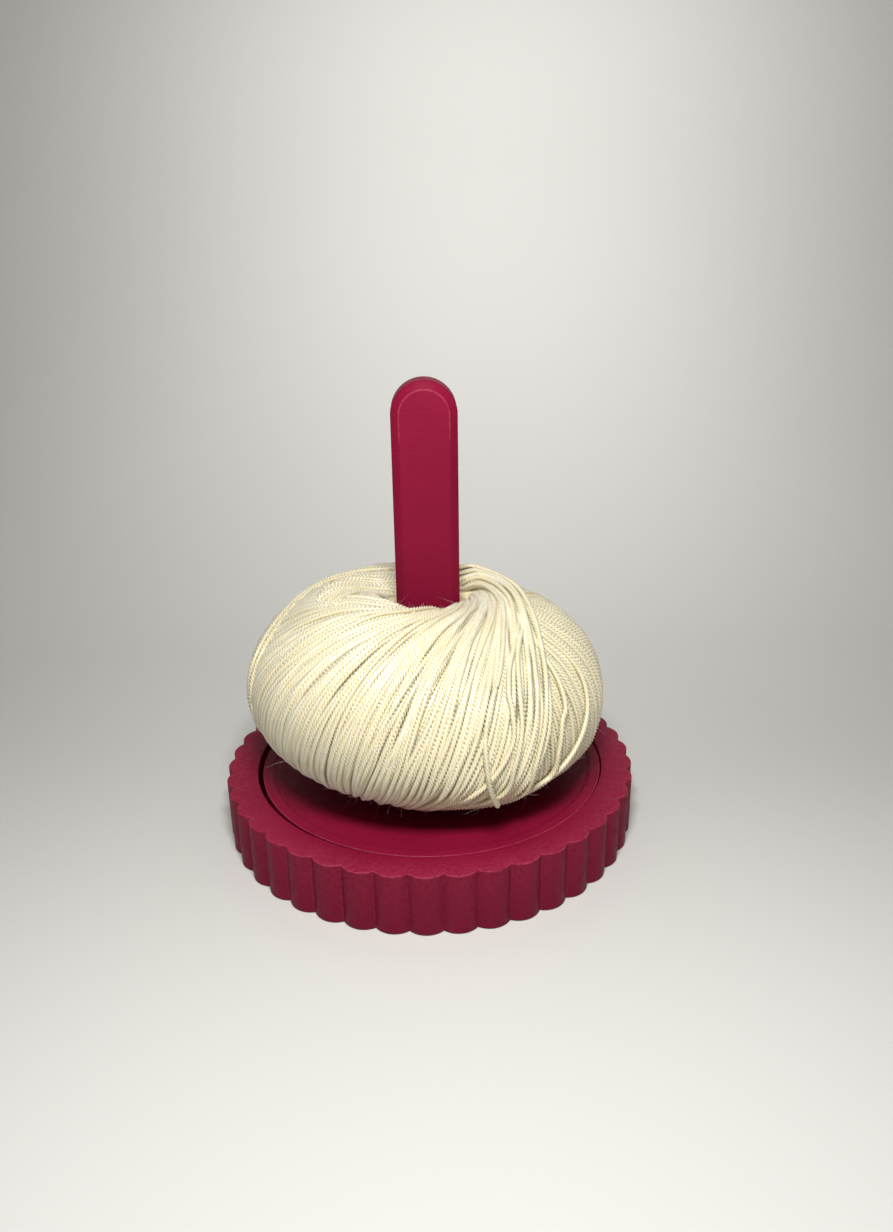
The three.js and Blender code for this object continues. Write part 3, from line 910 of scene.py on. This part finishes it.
class Surface:
    """The ball's outside as a surface of revolution that leans a little to one side."""

    def __init__(self):
        line = evenly_spaced(ball_outline(), OUTLINE_STEP)
        kernel = np.exp(-np.linspace(-2, 2, 2 * OUTLINE_SMOOTHING + 1) ** 2)
        kernel /= kernel.sum()
        line = np.stack([np.convolve(np.pad(column, OUTLINE_SMOOTHING, "edge"), kernel, "valid")
                         for column in line.T], 1)
        slope = np.gradient(line, axis=0)
        slope /= np.linalg.norm(slope, axis=1)[:, None]
        self.radius, self.height = line.T
        self.normal = np.stack([-slope[:, 1], slope[:, 0]], 1)
        self.run = run_along(line)
        self.lift = ball_low.z - (self.height - BALL["lean"] * self.radius).min()
        self.widest = self.run[self.radius.argmax()]

    def at(self, run, angle, proud):
        """Points and outward directions at a run down the outline, an angle and a height off it."""
        r, z, nr, nz = (np.interp(run, self.run, v)
                        for v in (self.radius, self.height, self.normal[:, 0], self.normal[:, 1]))
        rim, dip = ((run < self.widest) * hump(r - BALL["hole_radius"], reach)
                    for reach in (SQUASH_REACH, DIP_REACH))
        dip = FRONT_DIP * dip * (0.5 - 0.5 * np.sin(angle)) ** 3
        proud = proud - dent_at(run, angle)
        r = r + proud * nr
        z = z + proud * nz + self.lift - dip
        x = r * np.cos(angle) * (1 - LEFT_SQUASH * rim * (np.cos(angle) < 0))
        y = r * np.sin(angle) * (1 - HOLE_SQUASH * rim)
        z = np.maximum(z - BALL["lean"] * x, REST_HEIGHT)
        points = np.stack([x + BALL["shift_x"], y, z], -1)
        return points, np.stack([nr * np.cos(angle), nr * np.sin(angle), nz + 0 * angle], -1)

    def radius_at(self, run):
        """The outline's radius at a run down it."""
        return np.interp(run, self.run, self.radius)

    def run_of_radius(self, radius, upper):
        """How far down the outline its upper or lower half has this radius."""
        peak = self.radius.argmax()
        if upper:
            return np.interp(radius, self.radius[:peak], self.run[:peak])
        return np.interp(radius, self.radius[peak:][::-1], self.run[peak:][::-1])


SURFACE = Surface()

# ---- the winding ----

# Strands that lie loose on the others: stops of run down the ball in mm, angle in degrees and
# height of the strand's middle off the ball's outside in mm.
LOOSE_STRANDS = [
    [(6, 48, 0.2), (10, 34, 2.4), (14, 18, 3.2), (19, -6, 3.3), (25, -25, 2.7), (36, -39, 1.8),
     (48, -48, 1.4), (60, -54, 1.5), (72, -58, 1.5), (89, -60, 1.2), (105, -78, 0.2)],
    [(14, 10, 1.4), (20, -16, 2.2), (28, -38, 1.9), (36, -52, 1.5), (47, -59, 1.6), (59, -62, 1.6),
     (70, -65, 1.6), (83, -68, 1.4), (100, -84, 0.2)],
    [(26, -29, 0.6), (34, -31, 0.2), (43, -29, 0.2), (52, -29, 0.6), (62, -33, 0.9), (70, -39, 1.2),
     (77, -46, 1.1), (82, -53, 0.9), (98, -70, 0.0)],
    [(24, -26, 0.8), (32, -37, 0.8), (40, -41, 0.8), (49, -42, 0.9), (57, -44, 1.3), (61, -47, 1.4),
     (70, -49, 1.2), (81, -51, 1.0), (99, -67, 0.0)],
    [(18, -14, 1.5), (28, -42, 1.5), (38, -57, 1.4), (47, -63, 1.6), (54, -64, 1.6), (64, -66, 1.3),
     (80, -76, 1.0), (96, -90, 0.0)],
    [(8, 12, 0.6), (16, -26, 1.7), (24, -46, 1.8), (34, -58, 1.6), (45.7, -67, 1.4)],
    [(19, -262, -0.8), (27, -234, -0.1), (35, -208, 0.0), (42, -187, 0.2), (50, -174, 0.4),
     (59, -168, 0.4), (70, -168, 0.3), (80, -168, 0.2), (96, -184, -0.6)],
    [(17, -250, -0.9), (26, -222, -0.3), (34, -197, -0.2), (42, -178, 0.0), (50, -167, 0.3),
     (59, -163, 0.3), (70, -162, 0.2), (82, -162, 0.1), (98, -178, -0.7)],
]

# The winding: every loop makes a front and a back pass down the ball. Angles are in degrees.
LOOPS = 177
LOOP_STEP = 360 / LOOPS
LAST_LOOP = 44.0  # where the winding ends, at the hole's rim
FIRST_LOOP = LAST_LOOP - 360
LAYER_RISE = 2.55 * MM  # how much the ball grows while the winding goes once round
CENTRE_DEPTH = 1.45 * MM
UPPER_SWING = 98.0  # how far a strand turns from the top rim to the ball's widest ring
LOWER_SWING = 88.0
OUTER_PULL = 21 * MM  # how far the strands' plane passes from the axis
RIM_PULL = 16.4 * MM  # and near the rims
PULL_SPREAD = (-1.2 * MM, 4.6 * MM)  # how much each strand differs from that
PULL_BLEND = 12 * MM  # over how much radius that turns into the outer pull
SWING_SAMPLES = 401
STEEPEST = 0.9995  # sine of the greatest slant
LATE_TURN = 70.0  # how much of the winding, at its end, leaves the top rim further round
LATE_LEAD = 26.0
LATE_REACH = 20 * MM
SIDE_MIDDLE = -60.0  # the back strands that run straighter down on the right side
SIDE_FULL, SIDE_NONE = 40.0, 140.0
SIDE_START = 60.0  # degrees of swing
SIDE_LENGTH = 90.0
SIDE_SHIFT = 54.0
RIDGE_HEIGHT = 4.6 * MM  # the last strands, heaped up
RIDGE_WIDTH = 17.0
RIDGE_RISES, RIDGE_FADES = (1 * MM, 8 * MM), (44 * MM, 16 * MM)  # from none to full, by run
SHOULDER_WIDTH = 30.0  # the slope behind the ridge
SHOULDER_FADES = (18 * MM, 9 * MM)
BACK_RISE = 2.2 * MM  # how far the back strands that leave the far left side lie over the others
BACK_RISE_MIDDLE, BACK_RISE_WIDTH = 85.0, 55.0
BACK_EASE = 1.9 * MM  # how much flatter the last back strands lie
BACK_EASE_TURN = 70.0
BACK_FADES = (34 * MM, 20 * MM)
SEAM_STEP = 0.55 * MM  # each way, how far the two families part where they cross over
SEAM_BLEND = 0.25 * MM
SEAM_SAMPLES = 7
UNDER_DEPTH = 0.75 * MM  # how far down the strands lie that show between the top ones
LOWEST_DEPTH = 1.35 * MM
UNDER_PLACE, LOWEST_PLACE = 0.0, -0.3  # their places in a pile of crowded strands
PILE_HEIGHT = 1.9 * MM  # how far crowded strands near the axis lie over one another
PILE_MIDDLE = 0.7
GOLDEN = 0.618034
HIDDEN_DEPTH = 0.3 * MM  # a strand this far under the other family is left out
CROWDED_COVER = 0.15 * MM  # how much less than that is enough near the rims
COVER_MARGIN = 3.0  # degrees that it goes on under that family's edge
SHORTEST_STRETCH = 6  # samples
TUCK_LENGTH = 3.5 * MM  # how soon a strand dives in where it reaches a rim
TUCK_DEPTH = 2.3 * MM
SWAY = (0.32, 0.25)  # degrees sideways, and how much more in the last strands
SWAY_SPACING = 26 * MM
SWAY_RADII = (20 * MM, 40 * MM)  # from none to full
HEAVE = (0.13 * MM, 0.1 * MM)  # the same, up and down
HEAVE_SPACING = 20 * MM
LOOSE_TURN = 60.0  # how much of the winding, at its end, counts as the last strands
CROWDED_RADII = (72.45 * MM, 9.45 * MM)  # strands crowd together towards the axis,
HOLE_RADII = (14 * MM, 20 * MM)  # but not at the hole's wall


def swing(top_pull, bottom_pull):
    """How a strand swings round the axis as it goes down the ball: runs and angles in degrees.
    A pull is its nearest distance to the axis, and its slant's sine is pull over radius."""
    start = SURFACE.run_of_radius(top_pull, True)
    end = SURFACE.run_of_radius(bottom_pull, False)
    s = np.linspace(0, 1, SWING_SAMPLES)
    run = start + (end - start) * (1 - np.cos(math.pi * s)) / 2
    middle = (run[1:] + run[:-1]) / 2
    radius = SURFACE.radius_at(middle)
    near = np.where(middle < SURFACE.widest, top_pull, bottom_pull)
    pull = near + (OUTER_PULL - near) * smoothstep(ramp(radius, near, near + PULL_BLEND))
    slant = np.arcsin(np.clip(pull / radius, 0, STEEPEST))
    turn = np.degrees(np.concatenate([[0], np.cumsum(np.tan(slant) / radius * np.diff(run))]))
    upper = np.interp(SURFACE.widest, run, turn)
    lower = turn[-1] - upper
    turn = np.where(turn < upper, turn * UPPER_SWING / upper,
                    UPPER_SWING + (turn - upper) * LOWER_SWING / lower)
    return run, turn


def angle_of(family, alpha, turn, run):
    """Where a strand that leaves the top rim at alpha is after it has swung by turn."""
    if family == "front":
        late = ramp(wrapped(alpha, FIRST_LOOP), LAST_LOOP - LATE_TURN, LAST_LOOP)
        return alpha - turn + LATE_LEAD * late * hump(run, LATE_REACH)
    side = ramp(abs(wrapped(alpha - SIDE_MIDDLE, -180)), SIDE_NONE, SIDE_FULL)
    return alpha + turn - SIDE_SHIFT * side * smoothstep(ramp(turn, SIDE_START, SIDE_START + SIDE_LENGTH))


def height_of(family, alpha, run):
    """Height of a strand's middle off the ball's outside. Later loops lie on earlier ones."""
    loop = wrapped(alpha, FIRST_LOOP) - FIRST_LOOP
    height = LAYER_RISE * (loop / 360 - 0.5) - CENTRE_DEPTH
    if family == "front":
        top = ramp(run, *RIDGE_RISES) * ramp(run, *RIDGE_FADES)
        shoulder = hump(loop, SHOULDER_WIDTH) * ramp(run, *SHOULDER_FADES)
        return height + RIDGE_HEIGHT * (hump(360 - loop, RIDGE_WIDTH) + 0.5 * shoulder) * top
    far_left = hump(wrapped(alpha, -90) - BACK_RISE_MIDDLE, BACK_RISE_WIDTH)
    last = ramp(loop, 360 - BACK_EASE_TURN, 360)
    return height + (BACK_RISE * far_left - BACK_EASE * last) * ramp(run, *BACK_FADES)


MAP_RUNS = 270
MAP_ANGLES = 720
REFERENCE = swing(RIM_PULL, RIM_PULL)


def height_map(family):
    """The family's height all over the ball, by run and by angle."""
    alpha = np.linspace(FIRST_LOOP, LAST_LOOP, MAP_ANGLES, endpoint=False)
    angle = np.linspace(0, 360, MAP_ANGLES, endpoint=False)
    rows = []
    for run in np.linspace(0, SURFACE.run[-1], MAP_RUNS):
        at = angle_of(family, alpha, np.interp(run, *REFERENCE), run) % 360
        order = np.argsort(at)
        rows.append(np.interp(angle, at[order], height_of(family, alpha, run)[order], period=360))
    return np.array(rows)


def looked_up(height_grid, run, angle):
    """The nearest values of a height map."""
    row = np.clip(np.rint(run / SURFACE.run[-1] * (MAP_RUNS - 1)), 0, MAP_RUNS - 1).astype(int)
    column = np.rint(angle / 360 * MAP_ANGLES).astype(int) % MAP_ANGLES
    return height_grid[row, column]


MAPS = {family: height_map(family) for family in ("front", "back")}


def wander(rng, count, length, spacing):
    """A smooth random line: count values, with a new random point every spacing."""
    knots = rng.normal(size=int(length / spacing) + 4)
    at = np.linspace(0, length / spacing, count) + 1
    i = at.astype(int)
    t = smoothstep(at - i)
    return knots[i] * (1 - t) + knots[i + 1] * t


def smoothed(values, samples):
    """The values, each averaged with its neighbours. samples is odd."""
    return np.convolve(np.pad(values, samples // 2, "edge"), np.full(samples, 1 / samples), "valid")


def random_swing(rng):
    return swing(*(RIM_PULL + rng.uniform(*PULL_SPREAD, 2)))


def add_winding():
    """The outer strands: for each pass one on top, one under it half a step on, and one lowest."""
    rng = np.random.default_rng(SEED)
    strands = []
    for k in range(LOOPS):
        alpha = FIRST_LOOP + (k + 0.5) * LOOP_STEP
        path = random_swing(rng)
        for family in ("front", "back"):
            strands += one_pass(rng, family, alpha, path, GOLDEN * k % 1 - PILE_MIDDLE, 0.0)
            lowest = random_swing(rng)
            strands += one_pass(rng, family, alpha + LOOP_STEP / 2, path, UNDER_PLACE, UNDER_DEPTH)
            strands += one_pass(rng, family, alpha, lowest, LOWEST_PLACE, LOWEST_DEPTH)
    for route in LOOSE_STRANDS:
        strands.append(laid_strand(rng, route))
    build_batches(strands)
    return strands


def one_pass(rng, family, alpha, path, place_in_pile, depth):
    """The stretches of one loop's pass down the ball that other strands don't bury."""
    run, turn = path
    length = SURFACE.run[-1]
    late = ramp(alpha, LAST_LOOP - LOOSE_TURN, LAST_LOOP) if family == "front" else 0.0
    radius = SURFACE.radius_at(run)
    sway = wander(rng, len(run), length, SWAY_SPACING) * (SWAY[0] + SWAY[1] * late)
    angle = angle_of(family, alpha, turn, run) + sway * ramp(radius, *SWAY_RADII)
    crowded = ramp(radius, *CROWDED_RADII) * ramp(radius, *HOLE_RADII)
    cover_map = MAPS["back" if family == "front" else "front"]
    nominal = height_of(family, alpha, run)
    over = smoothed(nominal - looked_up(cover_map, run, angle), SEAM_SAMPLES)
    height = nominal + SEAM_STEP * np.tanh(over / SEAM_BLEND) + PILE_HEIGHT * place_in_pile * crowded
    height = height + wander(rng, len(run), length, HEAVE_SPACING) * (HEAVE[0] + HEAVE[1] * late)
    height = height - TUCK_DEPTH * ramp(np.minimum(run - run[0], run[-1] - run), TUCK_LENGTH, 0) ** 2
    cover = np.min([looked_up(cover_map, run, angle + by) for by in (-COVER_MARGIN, 0, COVER_MARGIN)], 0)
    points, normals = SURFACE.at(run, np.radians(angle), height - depth)
    seen = cover - nominal < HIDDEN_DEPTH - CROWDED_COVER * crowded
    return [(*evenly_spaced(points[a:b], STRAND_STEP, normals[a:b]), rng.uniform(0, 2 * math.pi))
            for a, b in stretches(seen, SHORTEST_STRETCH)]


def laid_strand(rng, route):
    """One loose strand along (run in mm, angle in degrees, height in mm) stops."""
    line = smooth_route([np.array(stop, float) for stop in route], 40)
    points, normals = SURFACE.at(line[:, 0] * MM, np.radians(line[:, 1]), line[:, 2] * MM)
    return (*evenly_spaced(points, STRAND_STEP, normals), rng.uniform(0, 2 * math.pi))


def stretches(flags, shortest):
    """Start and end of each run of true flags that has at least shortest of them."""
    edges = np.flatnonzero(np.diff(np.concatenate([[0], flags.astype(int), [0]])))
    return [(a, b) for a, b in zip(edges[::2], edges[1::2]) if b - a >= shortest]


BATCH_VERTICES = 95_000


def build_batches(strands):
    """Joins the strands, in winding order, into pieces that each stay a fair size."""
    batch, number = StrandBatch(), 1
    for i, (points, normals, phase) in enumerate(strands):
        batch.add(points, normals, phase=phase)
        if batch.count > BATCH_VERTICES or i == len(strands) - 1:
            piece = batch.build(f"yarn_winding_{number}")
            place_piece(piece, YARN, "yarn", "yarn", *(["yarn_ball"] if number == 1 else []))
            batch, number = StrandBatch(), number + 1


CORE_COLUMNS = 240
CORE_DEPTH = 1.5 * MM
# how much painted shade the core gets
CORE_SHADE = 0.6
CORE_EASINGS = 6  # times that its surface is pulled down to the mean of its neighbours


def add_core():
    """The older yarn under the outer strands, with the hole's wall."""
    columns = np.arange(0, MAP_ANGLES, MAP_ANGLES // CORE_COLUMNS)
    top = np.maximum(MAPS["front"], MAPS["back"])
    for _ in range(CORE_EASINGS):
        top = np.minimum(top, (np.roll(top, 2, 1) + np.roll(top, -2, 1)) / 2)
    run = np.repeat(np.linspace(0, SURFACE.run[-1], MAP_RUNS)[:, None], len(columns), 1)
    angle = np.repeat(np.radians(columns * 360 / MAP_ANGLES)[None], MAP_RUNS, 0)
    points, _ = SURFACE.at(run, angle, top[:, columns] - CORE_DEPTH)
    grid = np.arange(points[..., 0].size).reshape(points.shape[:2])
    core = quad_object("yarn_core", points.reshape(-1, 3), ring_quads(grid, closed=True))
    # the core is painted in shade all over
    vertex_value(recalculated(core), "groove", np.full(grid.size, CORE_SHADE))
    place_piece(core, YARN, "yarn", "yarn")


# ---- loose fibres ----

FIBRES = 4100
FIBRE_RADIUS = 0.034 * MM
FIBRE_STEPS = 9
FIBRE_SIDES = 3
FIBRE_LENGTHS = (1.5 * MM, 5.5 * MM)
FIBRE_ROOT = 0.8  # of the strand's radius
FIBRE_STANDS, FIBRE_CURLS = (0.2, 0.7), (0.4, 2.2)
SHORTENED_AT_HOLE = 0.8
FIBRE_CLEARANCE = 0.4 * MM  # off the spindle and the turntable
KEPT_AT_HOLE, KEPT_UNDERNEATH, KEPT_ELSEWHERE = 0.5, 0.9, 0.3  # chances that a fibre is kept
AT_HOLE_WITHIN, AT_HOLE_ABOVE, UNDERNEATH_BELOW = 24 * MM, 80 * MM, 36 * MM


def add_fuzz(strands):
    """Fine loose fibres that stand off the strands, more of them round the hole and underneath."""
    rng = np.random.default_rng(SEED + 1)
    verts, quads = [], []
    grid = np.arange(FIBRE_STEPS * FIBRE_SIDES).reshape(FIBRE_STEPS, FIBRE_SIDES)
    half_width = (spindle_high.x - spindle_low.x) / 2 + FIBRE_CLEARANCE
    half_depth = (spindle_high.y - spindle_low.y) / 2 + FIBRE_CLEARANCE
    while len(verts) < FIBRES:
        points, normals, _ = strands[rng.integers(len(strands))]
        i = rng.integers(1, len(points) - 1)
        height = points[i][2]
        at_hole = np.hypot(*points[i][:2]) < AT_HOLE_WITHIN and height > AT_HOLE_ABOVE
        kept = KEPT_UNDERNEATH if height < UNDERNEATH_BELOW else KEPT_ELSEWHERE
        if rng.random() > (KEPT_AT_HOLE if at_hole else kept):
            continue
        along = (points[i + 1] - points[i - 1]) / np.linalg.norm(points[i + 1] - points[i - 1])
        sideways = np.cross(along, normals[i])
        start = points[i] + FIBRE_ROOT * STRAND_RADIUS * normals[i]
        heading = (normals[i] * rng.uniform(*FIBRE_STANDS) + along * rng.normal()
                   + sideways * rng.normal())
        heading /= np.linalg.norm(heading)
        curl = np.cross(heading, rng.normal(size=3)) * rng.uniform(*FIBRE_CURLS)
        length = rng.uniform(*FIBRE_LENGTHS) * (SHORTENED_AT_HOLE if at_hole else 1.0)
        t = np.linspace(0, 1, FIBRE_STEPS)[:, None]
        line = start + length * (heading * t + curl * t * t * 0.5 - normals[i] * t ** 3 * 0.25)
        inside = (abs(line[:, 0] - ROTOR_X) < half_width) & (abs(line[:, 1]) < half_depth)
        if inside.any() or line[:, 2].min() < DISH_FLOOR + FIBRE_CLEARANCE:
            continue
        thick = FIBRE_RADIUS * (1.1 - 0.8 * t[..., None])
        across = curl / np.linalg.norm(curl)
        corner = np.arange(FIBRE_SIDES)[:, None] * 2 * math.pi / FIBRE_SIDES
        around = np.cos(corner) * np.cross(heading, across) + np.sin(corner) * across
        quads.append(ring_quads(FIBRE_SIDES * FIBRE_STEPS * len(verts) + grid))
        verts.append((line[:, None] + thick * around[None]).reshape(-1, 3))
    fuzz = quad_object("yarn_fuzz", np.concatenate(verts), np.concatenate(quads))
    vertex_value(fuzz, "groove", np.zeros(len(fuzz.data.vertices)))
    place_piece(fuzz, YARN, "yarn", "yarn")


# ---- build ----

dress_cad_nodes()
add_base()
add_turntable()
add_spindle()
add_core()
add_fuzz(add_winding())
